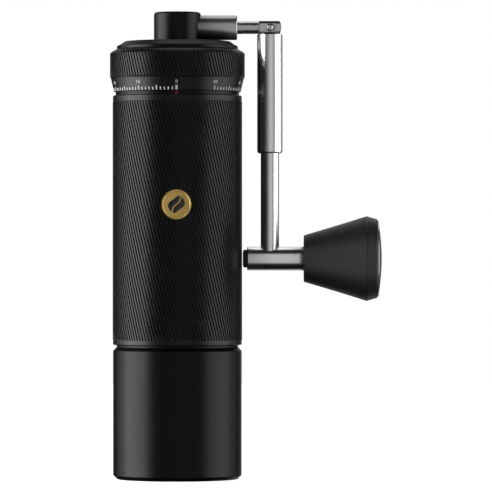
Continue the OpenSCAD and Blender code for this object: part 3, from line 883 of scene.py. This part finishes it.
class GRINDER_OT_lid(bpy.types.Operator):
    """Lid with a sloped edge and a pocket for the hub"""

    bl_idname = "grinder.lid"
    bl_label = "Lid"

    def execute(self, context):
        seat = low("lid_cap").z
        rest = DIAL_TOP + 0.02 * MM
        skirt = high("lid_seal").x - 0.08 * MM
        skirt_bore = 23.1 * MM
        seal_r = 23.6 * MM
        seal_low, seal_top = low("lid_seal").z, high("lid_seal").z
        pocket = HUB_RADIUS + 0.28 * MM
        bush, bush_top = high("lid_bush").x, high("lid_bush").z
        plate = 182.2 * MM
        outline = [
            (bush, plate), (skirt_bore, plate), (skirt_bore, seat), (skirt, seat), (skirt, seal_low),
            (seal_r, seal_low), (seal_r, seal_top), (skirt, seal_top), (skirt, rest),
            (LID_RADIUS, rest), (LID_RADIUS, rest + 1.2 * MM),
            (LID_RADIUS - 1.7 * MM, LID_TOP - 1.2 * MM), (LID_RADIUS - 2.9 * MM, LID_TOP - 0.4 * MM),
            (LID_RADIUS - 3.3 * MM, LID_TOP - 0.08 * MM), (LID_RADIUS - 3.9 * MM, LID_TOP),
            (pocket, LID_TOP), (pocket, bush_top), (bush, bush_top),
        ]
        lid = turned("lid_shell", outline, edge=0.15 * MM, steps=160)
        dress(lid, "smooth", "lid", "polished_black", "lid_cap")
        return {"FINISHED"}


class GRINDER_OT_hub(bpy.types.Operator):
    """Hub of the crank, with a rounded top and a hole for the set screw"""

    bl_idname = "grinder.hub"
    bl_label = "Crank Hub"

    def execute(self, context):
        bottom = low("crank_hub").z
        top = high("crank_hub").z
        rounding = 1.3 * MM
        outline = [(0, bottom), (HUB_RADIUS, bottom)]
        outline += curve_of(HUB_RADIUS - rounding, top - rounding, rounding, 0, 90, 8)
        outline += [(HUB_RADIUS - rounding - 0.5 * MM, top), (0, top)]
        hub = turned("hub_body", outline, edge=0, steps=128, closed=False)
        screw_r = high("arm_set_screw").x
        hole = round_block("screw_hole", screw_r, 8 * MM, (0, HUB_RADIUS, ARM_HEIGHT), ACROSS, 48)
        combine(hub, hole)
        socket_r = high("drive_socket").x
        socket_h = high("drive_socket").z - bottom
        bore = round_block("socket_bore", socket_r, 2 * socket_h, (0, 0, bottom), ORIGIN, 64)
        combine(hub, bore)
        soften(hub, 0.12 * MM)
        dress(hub, "smooth", "crank", "polished_black", "crank_hub")
        return {"FINISHED"}


class GRINDER_OT_inner_arm(bpy.types.Operator):
    """Collar, inner rod with its forked knuckle, and the pivot pin"""

    bl_idname = "grinder.inner_arm"
    bl_label = "Inner Arm"

    def execute(self, context):
        rod = 2.675 * MM
        start = low("inner_arm").x
        fork = high("inner_arm").y
        fork_x = PIVOT_X - 4.45 * MM
        reach = high("inner_arm").x - PIVOT_X
        half_height = high("inner_arm").z - ARM_HEIGHT
        collar_r = high("arm_collar").y
        collar_start = HUB_RADIUS - 1.4 * MM
        collar_end = high("arm_collar").x
        chamfer = 0.3 * MM
        axis = (0, 0, ARM_HEIGHT)
        pivot = (PIVOT_X, 0, ARM_HEIGHT)

        collar = turned(
            "arm_collar_polished",
            [(rod, collar_start), (collar_r, collar_start), (collar_r, collar_end - chamfer),
             (collar_r - chamfer, collar_end), (rod, collar_end)],
            edge=0.15 * MM, place=axis, along="X",
        )
        dress(collar, "collar", "crank", "polished_steel", "arm_collar")

        outline = [(0, start), (rod, start), (rod, fork_x - chamfer), (fork, fork_x),
                   (fork, PIVOT_X + reach), (0, PIVOT_X + reach)]
        arm = turned("inner_arm_rod", outline, edge=0, steps=128, place=axis, along="X", closed=False)
        cut_flat(arm, (0, 0, ARM_HEIGHT + half_height), (0, 0, 1))
        cut_flat(arm, (0, 0, ARM_HEIGHT - half_height), (0, 0, -1))
        # The end is rounded about the pin, so that it clears the sleeve as the arm folds
        block = 20 * MM
        beyond = box_block("beyond_the_end", (12 * MM, block, block), (PIVOT_X + 6 * MM, 0, ARM_HEIGHT))
        combine(beyond, round_block("round_end", reach, 30 * MM, pivot, ACROSS, 128))
        combine(arm, beyond)
        slot_width = 3.1 * MM
        slot_x = PIVOT_X - 3.1 * MM
        combine(arm, box_block("fork_slot", (block, slot_width, block), (slot_x + block / 2, 0, ARM_HEIGHT)))
        combine(arm, round_block("pin_hole", 1.62 * MM, block, pivot, ACROSS, 64))
        soften(arm, 0.1 * MM)
        dress(arm, "arm", "crank", "polished_steel", "inner_arm")

        pin_r = 1.5 * MM
        face_r = 0.85 * MM
        dimple = 0.2 * MM
        end = high("pivot_pin").y
        bevel = 0.4 * MM
        outline = [(0, -end + dimple), (dimple, -end + dimple), (2 * dimple, -end), (face_r, -end),
                   (pin_r, -end + bevel), (pin_r, end - bevel), (face_r, end), (0, end)]
        pin = turned("pivot_pin_head", outline, edge=0.05 * MM, steps=64, closed=False)
        pin.rotation_euler = ACROSS
        pin.location = pivot
        apply_place(pin)
        dress(pin, "arm", "crank", "polished_steel", "pivot_pin")
        return {"FINISHED"}


class GRINDER_OT_outer_arm(bpy.types.Operator):
    """Outer rod with its tongue, the cross spindle and the rest tip"""

    bl_idname = "grinder.outer_arm"
    bl_label = "Outer Arm"

    def execute(self, context):
        rod = 3.9 * MM
        guide = high("outer_rod").y
        neck = ARM_HEIGHT - 5.9 * MM
        band_low = neck - 6 * MM
        foot = SPINDLE_HEIGHT - 2 * MM
        bevel = 0.4 * MM
        outline = [
            (0, foot), (rod, foot), (rod, band_low), (guide, band_low + bevel), (guide, neck - bevel),
            (guide - bevel, neck), (0, neck),
        ]
        outer = turned(
            "outer_rod_polished", outline, edge=0, steps=128, place=(PIVOT_X, 0, 0), closed=False
        )
        knuckle_r = high("outer_rod").z - ARM_HEIGHT
        thick = 2.9 * MM
        tongue = round_block("tongue", knuckle_r, thick, (PIVOT_X, 0, ARM_HEIGHT), ACROSS, 64)
        stem = ARM_HEIGHT - neck + 1 * MM
        # A touch smaller than the tongue, so that no faces coincide
        stem_size = (2 * knuckle_r * 0.998, thick * 0.998, stem)
        combine(tongue, box_block("stem", stem_size, (PIVOT_X, 0, ARM_HEIGHT - stem / 2)), "UNION")
        combine(outer, tongue, "UNION")
        soften(outer, 0.12 * MM)
        dress(outer, "steel", "outer_arm", "polished_steel", "outer_rod")

        start = low("knob_spindle").x
        shoulder = low("knob_bushes").x - 0.1 * MM
        tip_r = high("rest_tip").y
        axle = 3 * MM
        axle_end = high("knob_spindle").x
        round_off = 0.35 * MM
        axis = (0, 0, SPINDLE_HEIGHT)
        outline = [
            (0, start), (SPINDLE_RADIUS - round_off, start), (SPINDLE_RADIUS, start + round_off),
            (SPINDLE_RADIUS, shoulder), (axle, shoulder), (axle, axle_end), (0, axle_end),
        ]
        spindle = turned(
            "knob_spindle_polished", outline, edge=0.15 * MM, place=axis, along="X", closed=False
        )
        dress(spindle, "steel", "outer_arm", "polished_steel", "knob_spindle")

        face = low("rest_tip").x
        outline = [(0, face), (tip_r - 1.1 * MM, face), (tip_r - 0.4 * MM, face + 0.15 * MM),
                   (tip_r, face + 0.6 * MM), (tip_r, start), (0, start)]
        tip = turned(
            "rest_tip_pad", outline, edge=0.1 * MM, steps=96, place=axis, along="X", closed=False
        )
        dress(tip, "rubber", "outer_arm", "black_rubber", "rest_tip")
        return {"FINISHED"}


class GRINDER_OT_sleeve(bpy.types.Operator):
    """Polished sleeve that slides over the outer rod"""

    bl_idname = "grinder.sleeve"
    bl_label = "Locking Sleeve"

    def execute(self, context):
        bottom = low("lock_sleeve").z
        top = high("lock_sleeve").z
        bore = 4.4 * MM
        lip = 3.95 * MM
        lip_h = 3.6 * MM
        rounding = 1.2 * MM
        outline = [(lip, bottom)]
        outline += curve_of(SLEEVE_RADIUS - rounding, bottom + rounding, rounding, -90, 0, 8)
        outline += [(SLEEVE_RADIUS, top), (bore, top), (bore, bottom + lip_h), (lip, bottom + lip_h)]
        sleeve = turned("sleeve_polished", outline, edge=0.2 * MM, place=(PIVOT_X, 0, 0))
        dress(sleeve, "steel", "lock_sleeve", "polished_steel", "lock_sleeve")
        return {"FINISHED"}


class GRINDER_OT_knob(bpy.types.Operator):
    """Conical knob with its bright ring and domed cap"""

    bl_idname = "grinder.knob"
    bl_label = "Knob"

    def execute(self, context):
        face = low("knob_shell").x
        end = high("knob_shell").x
        wide = high("knob_shell").y
        face_r = 10.05 * MM
        wide_x = face + 26.7 * MM
        bore = 5 * MM
        ring_r = high("knob_ring").y
        ring_x = low("knob_ring").x
        recess = 12.5 * MM
        recess_x = 79 * MM
        end_r = 16.2 * MM
        centre = (0, 0, SPINDLE_HEIGHT)
        crest = 0.05 * MM
        cone_from, cone_to = face + 0.45 * MM, wide_x - 0.3 * MM
        flare = 0.1 * MM
        cone = []
        for share in (0, 0.015, 0.1, 0.2, 0.3, 0.4, 0.5, 0.6, 0.7, 0.8, 0.9, 0.985, 1):
            hollow = 4 * flare * share * (1 - share)
            radius = face_r + (wide - crest - face_r) * share - hollow
            cone.append((radius, cone_from + (cone_to - cone_from) * share))
        chamfer_from = (wide - crest, wide_x + 0.3 * MM)
        chamfer_to = (wide - 1.2 * MM, end - 0.6 * MM)
        chamfer = []
        for share in (0, 0.08, 0.5, 0.92, 1):
            chamfer.append(tuple(a + (b - a) * share for a, b in zip(chamfer_from, chamfer_to)))
        outline = [(bore, face), (face_r - 0.5 * MM, face), (face_r - 0.1 * MM, face + 0.12 * MM),
                   *cone, (wide, wide_x), *chamfer, (wide - 1.45 * MM, end - 0.2 * MM),
                   (end_r, end), (ring_r, end), (ring_r, ring_x), (recess, ring_x),
                   (recess, recess_x), (bore, recess_x)]
        shell = turned("knob_body", outline, edge=0, steps=160, place=centre, along="X")
        dress(shell, "knob", "knob", "matte_knob", "knob_shell")

        cap_x = high("knob_ring").x
        ring = turned(
            "knob_bright_ring",
            [(recess, ring_x), (ring_r, ring_x), (ring_r, cap_x), (recess, cap_x)],
            edge=0.12 * MM, place=centre, along="X",
        )
        dress(ring, "steel", "knob", "polished_steel", "knob_ring")

        cap_r = high("knob_cap").y
        base = low("knob_cap").x
        top = high("knob_cap").x
        rise = top - cap_x
        dome = (cap_r * cap_r + rise * rise) / (2 * rise)
        rim = asin(cap_r / dome)
        outline = [(0, base), (recess, base), (recess, cap_x)]
        steps = 12
        for step in range(steps + 1):
            turn = rim * (1 - step / steps)
            outline.append((dome * sin(turn), top - dome + dome * cos(turn)))
        cap = turned("knob_dome", outline, edge=0, place=centre, along="X", closed=False)
        dress(cap, "knob", "knob", "matte_knob", "knob_cap")
        return {"FINISHED"}


class GRINDER_OT_burrs(bpy.types.Operator):
    """Conical burrs: a few steep feeding teeth above, many fine ones below"""

    bl_idname = "grinder.burrs"
    bl_label = "Burrs"

    # Vertices round a burr, teeth of each kind and their depths
    POINTS = 360
    FINE, FINE_DEPTH = 36, 0.75 * MM
    COARSE, COARSE_DEPTH = 6, 2.2 * MM
    FEED, FEED_DEPTH = 12, 1.1 * MM
    # Turn from one row of vertices to the next, which makes the teeth lean
    LEAN = radians(2.0)
    MOUTH_RADIUS = 17.9 * MM
    THROAT_RADIUS = 15.9 * MM
    THROAT_RISE = 8 * MM
    GAP = 0.2 * MM

    def execute(self, context):
        mouth = low("outer_burr").z
        throat = mouth + self.THROAT_RISE
        self.outer_burr(mouth, throat)
        self.inner_burr(mouth, throat)
        return {"FINISHED"}

    def outer_burr(self, mouth, throat):
        """Ring burr, with teeth in its bore."""
        seat = high("outer_burr").x
        top = high("outer_burr").z
        bevel = 0.4 * MM
        ring = Ring("outer_burr_toothed", self.POINTS, seat - bevel, mouth)
        ring.grow(self.MOUTH_RADIUS + 0.3 * MM, mouth)
        for share in self.shares(0, 8):
            radius = self.MOUTH_RADIUS + (self.THROAT_RADIUS - self.MOUTH_RADIUS) * share
            ring.grow(radius, mouth + (throat - mouth) * share, self.LEAN)
            ring.carve(self.teeth(self.FINE, -self.FINE_DEPTH))
        for share in self.shares(1, 4):
            ring.grow(self.THROAT_RADIUS, throat + (top - throat - bevel) * share, 2 * self.LEAN)
            ring.carve(self.teeth(self.FEED, -self.FEED_DEPTH))
        ring.grow(self.THROAT_RADIUS + 1.5 * MM, top)
        ring.grow(seat - bevel, top)
        ring.grow(seat, top - bevel)
        ring.grow(seat, mouth + bevel)
        ring.grow(seat - bevel, mouth)
        burr = ring.close()
        soften(burr, 0)
        dress(burr, "burr", "housing", "burr_steel", "outer_burr")

    def inner_burr(self, mouth, throat):
        """Cone burr on the shaft."""
        bore = 3.5 * MM
        shaft = 4 * MM
        shoulder = 72 * MM
        cone_top = high("inner_burr").z
        cone_radius = 8.5 * MM
        wide = self.MOUTH_RADIUS - self.GAP
        narrow = self.THROAT_RADIUS - self.GAP
        ring = Ring("inner_burr_toothed", self.POINTS, bore, mouth)
        ring.grow(wide - 1.6 * MM, mouth)
        for share in self.shares(0, 8):
            ring.grow(wide + (narrow - wide) * share, mouth + (throat - mouth) * share, -self.LEAN)
            ring.carve(self.teeth(self.FINE, self.FINE_DEPTH))
        for share in self.shares(1, 10):
            radius = narrow + (cone_radius - narrow) * share
            ring.grow(radius, throat + (cone_top - throat) * share, -2.5 * self.LEAN)
            ring.carve(self.teeth(self.COARSE, self.COARSE_DEPTH * min(1, 2 * share + 0.4)))
        ring.grow(shaft, cone_top)
        ring.grow(shaft, shoulder)
        ring.grow(bore, shoulder)
        ring.grow(bore, mouth)
        burr = ring.close()
        soften(burr, 0)
        dress(burr, "burr", "shaft", "burr_steel", "inner_burr")

    @staticmethod
    def shares(first, last):
        """Even steps that end at 1."""
        return [step / last for step in range(first, last + 1)]

    def teeth(self, count, depth):
        """Saw teeth: each falls away along a ramp and ends in a steep face."""
        pitch = self.POINTS // count
        return lambda number: depth * (number % pitch) / pitch


class GRINDER_OT_spring(bpy.types.Operator):
    """Preload spring of the shaft, which shortens as the dial opens the burrs"""

    bl_idname = "grinder.spring"
    bl_label = "Preload Spring"

    def execute(self, context):
        foot = low("preload_spring").z
        top = high("preload_spring").z
        wire = 0.6 * MM
        coil_r = 6.8 * MM
        turns = 4
        steps = 36 * turns
        coil = added(
            "preload_spring_coil", bpy.ops.mesh.primitive_circle_add, vertices=12, radius=wire,
            location=(coil_r, 0, foot + wire), rotation=ACROSS,
        )
        modify(
            coil, "SCREW", axis="Z", angle=tau * turns, screw_offset=top - foot - 2 * wire, steps=steps,
            render_steps=steps, use_merge_vertices=False,
        )
        edit(coil)
        bpy.ops.mesh.select_all(action="DESELECT")
        bpy.ops.mesh.select_mode(type="EDGE")
        bpy.ops.mesh.select_non_manifold()
        bpy.ops.mesh.edge_face_add()
        bpy.ops.mesh.select_mode(type="VERT")
        weld_and_face_out()
        bpy.ops.object.mode_set(mode="OBJECT")
        soften(coil, 0)
        dress(coil, "spring", "housing", "spring_steel", "preload_spring")
        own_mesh(coil)
        return {"FINISHED"}


# ------------------------------------------------------------------- stage


# Upright soft lights all round: name, azimuth, spread in azimuth, height in metres, radiance. Azimuth 0
# is in front of the grinder and 90 on its right. The dark gaps draw the edges of the round pieces.
UPRIGHT_LIGHTS = [
    ("front_edge_light", -33, 13, 6.6, 0.09),
    ("front_left_light", -20, 13, 6.6, 0.2),
    ("front_middle_light", -8, 11, 6.6, 0.36),
    ("front_light", 12, 29, 6.6, 0.52),
    ("front_right_light", 37, 20, 6.6, 0.25),
    ("right_light", 80, 50, 5.0, 2.9),
    ("right_rear_light", 118, 24, 5.0, 0.55),
    ("rear_light", 172, 40, 8.0, 0.4),
    ("left_rear_light", -118, 24, 5.0, 1.0),
    ("left_light", -81, 50, 5.0, 6.5),
]
# Tilted soft lights: name, azimuth, elevation, width and height in metres, radiance
TILTED_LIGHTS = [
    ("overhead_light", 180, 66, 1.3, 1.9, 1.15),
    ("high_rear_light", 180, 34, 3.0, 1.5, 0.35),
]
SURROUNDINGS = (0.002, 0.002, 0.002, 1)
VIEW_CENTRE = Vector((0.02915, 0, 0.09895))
LIGHT_DISTANCE = 3.2
LIGHT_AIM = Vector((0.02, 0, 0.1))


def softbox(name, azimuth, elevation, width, height, radiance):
    """A rectangular light that faces the grinder."""
    a, e = radians(azimuth), radians(elevation)
    place = LIGHT_AIM + LIGHT_DISTANCE * Vector((sin(a) * cos(e), -cos(a) * cos(e), sin(e)))
    bpy.ops.object.light_add(type="AREA", location=place)
    lamp = bpy.context.object
    lamp.name = name
    lamp.rotation_euler = (LIGHT_AIM - place).to_track_quat("-Z", "Y").to_euler()
    lamp.data.shape = "RECTANGLE"
    lamp.data.size = width
    lamp.data.size_y = height
    lamp.data.energy = radiance * pi * width * height
    lamp.visible_camera = False


class GRINDER_OT_stage(bpy.types.Operator):
    """Pale floor, white backdrop, soft lights and the camera"""

    bl_idname = "grinder.stage"
    bl_label = "Stage"

    def execute(self, context):
        stage = settings("stage")
        self.backdrop(stage.dome_radius)
        self.floor(stage.floor_radius)
        for name, azimuth, spread, height, radiance in UPRIGHT_LIGHTS:
            softbox(name, azimuth, 0, 2 * LIGHT_DISTANCE * tan(radians(spread / 2)), height, radiance)
        for tilted in TILTED_LIGHTS:
            softbox(*tilted)
        world = bpy.data.worlds.new("studio")
        world.use_nodes = True
        world.node_tree.nodes["Background"].inputs["Color"].default_value = SURROUNDINGS
        context.scene.world = world
        context.scene.view_settings.view_transform = "Standard"
        self.camera(stage)
        return {"FINISHED"}

    @staticmethod
    def camera(stage):
        """A long lens at half height, in front."""
        start_clean()
        place = VIEW_CENTRE - Vector((0, stage.camera_distance, 0))
        bpy.ops.object.camera_add(location=place, rotation=ACROSS)
        camera = bpy.context.object
        camera.name = "camera"
        sensor = 36
        camera.data.sensor_width = sensor
        camera.data.lens = sensor * stage.camera_distance / stage.field_width
        camera.data.clip_end = 40
        bpy.context.scene.camera = camera

    @staticmethod
    def floor(radius):
        """A pale disc that takes a faint shadow."""
        piece = added(
            "floor", bpy.ops.mesh.primitive_circle_add, vertices=96, radius=radius, fill_type="NGON",
            location=(0, 0, -0.02 * MM),
        )
        recipe = Recipe("pale_floor")
        tone = recipe.noise(recipe.place(), 14.0, 3.0)
        piece.data.materials.append(
            recipe.finish(
                Base_Color=recipe.mix(tone, (0.8, 0.8, 0.8), (0.84, 0.84, 0.84)), Roughness=0.9,
                Emission_Color=(1, 1, 1, 1), Emission_Strength=0.8, Specular_IOR_Level=0.0,
            )
        )
        piece.visible_glossy = False
        piece.visible_diffuse = False
        piece.visible_shadow = False

    @staticmethod
    def backdrop(radius):
        """A white dome that only the camera sees, so that it adds no light."""
        piece = added("backdrop", bpy.ops.mesh.primitive_ico_sphere_add, subdivisions=4, radius=radius)
        recipe = Recipe("white_backdrop")
        glow = recipe.node("ShaderNodeEmission", None, {"Color": (1, 1, 1, 1), "Strength": 1.0})
        recipe.node("ShaderNodeOutputMaterial", None, {"Surface": glow})
        piece.data.materials.append(recipe.material)
        piece.visible_glossy = False
        piece.visible_diffuse = False
        piece.visible_transmission = False
        piece.visible_shadow = False


# ------------------------------------------------------------------ add-on

OPERATORS = [
    GRINDER_OT_finishes,
    GRINDER_OT_cup,
    GRINDER_OT_grip,
    GRINDER_OT_badge,
    GRINDER_OT_dial,
    GRINDER_OT_scale,
    GRINDER_OT_lid,
    GRINDER_OT_hub,
    GRINDER_OT_inner_arm,
    GRINDER_OT_outer_arm,
    GRINDER_OT_sleeve,
    GRINDER_OT_knob,
    GRINDER_OT_burrs,
    GRINDER_OT_spring,
    GRINDER_OT_stage,
]


class GRINDER_PT_panel(bpy.types.Panel):
    """Lists the grinder's pieces"""

    bl_idname = "GRINDER_PT_panel"
    bl_label = "Coffee Grinder"
    bl_space_type = "VIEW_3D"
    bl_region_type = "UI"
    bl_category = "Grinder"

    def draw(self, context):
        for operator in OPERATORS:
            self.layout.operator(operator.bl_idname)


def register():
    """Registers the settings, the operators and the panel."""
    for name, group in SETTINGS.items():
        bpy.utils.register_class(group)
        setattr(bpy.types.Scene, name, bpy.props.PointerProperty(type=group))
    for cls in [*OPERATORS, GRINDER_PT_panel]:
        bpy.utils.register_class(cls)


def unregister():
    """Undoes register."""
    for cls in reversed([*OPERATORS, GRINDER_PT_panel]):
        bpy.utils.unregister_class(cls)
    for name, group in SETTINGS.items():
        delattr(bpy.types.Scene, name)
        bpy.utils.unregister_class(group)


def main():
    """Makes every piece in order."""
    register()
    for operator in OPERATORS:
        group, name = operator.bl_idname.split(".")
        getattr(getattr(bpy.ops, group), name)()
    start_clean()


if __name__ == "__main__":
    main()
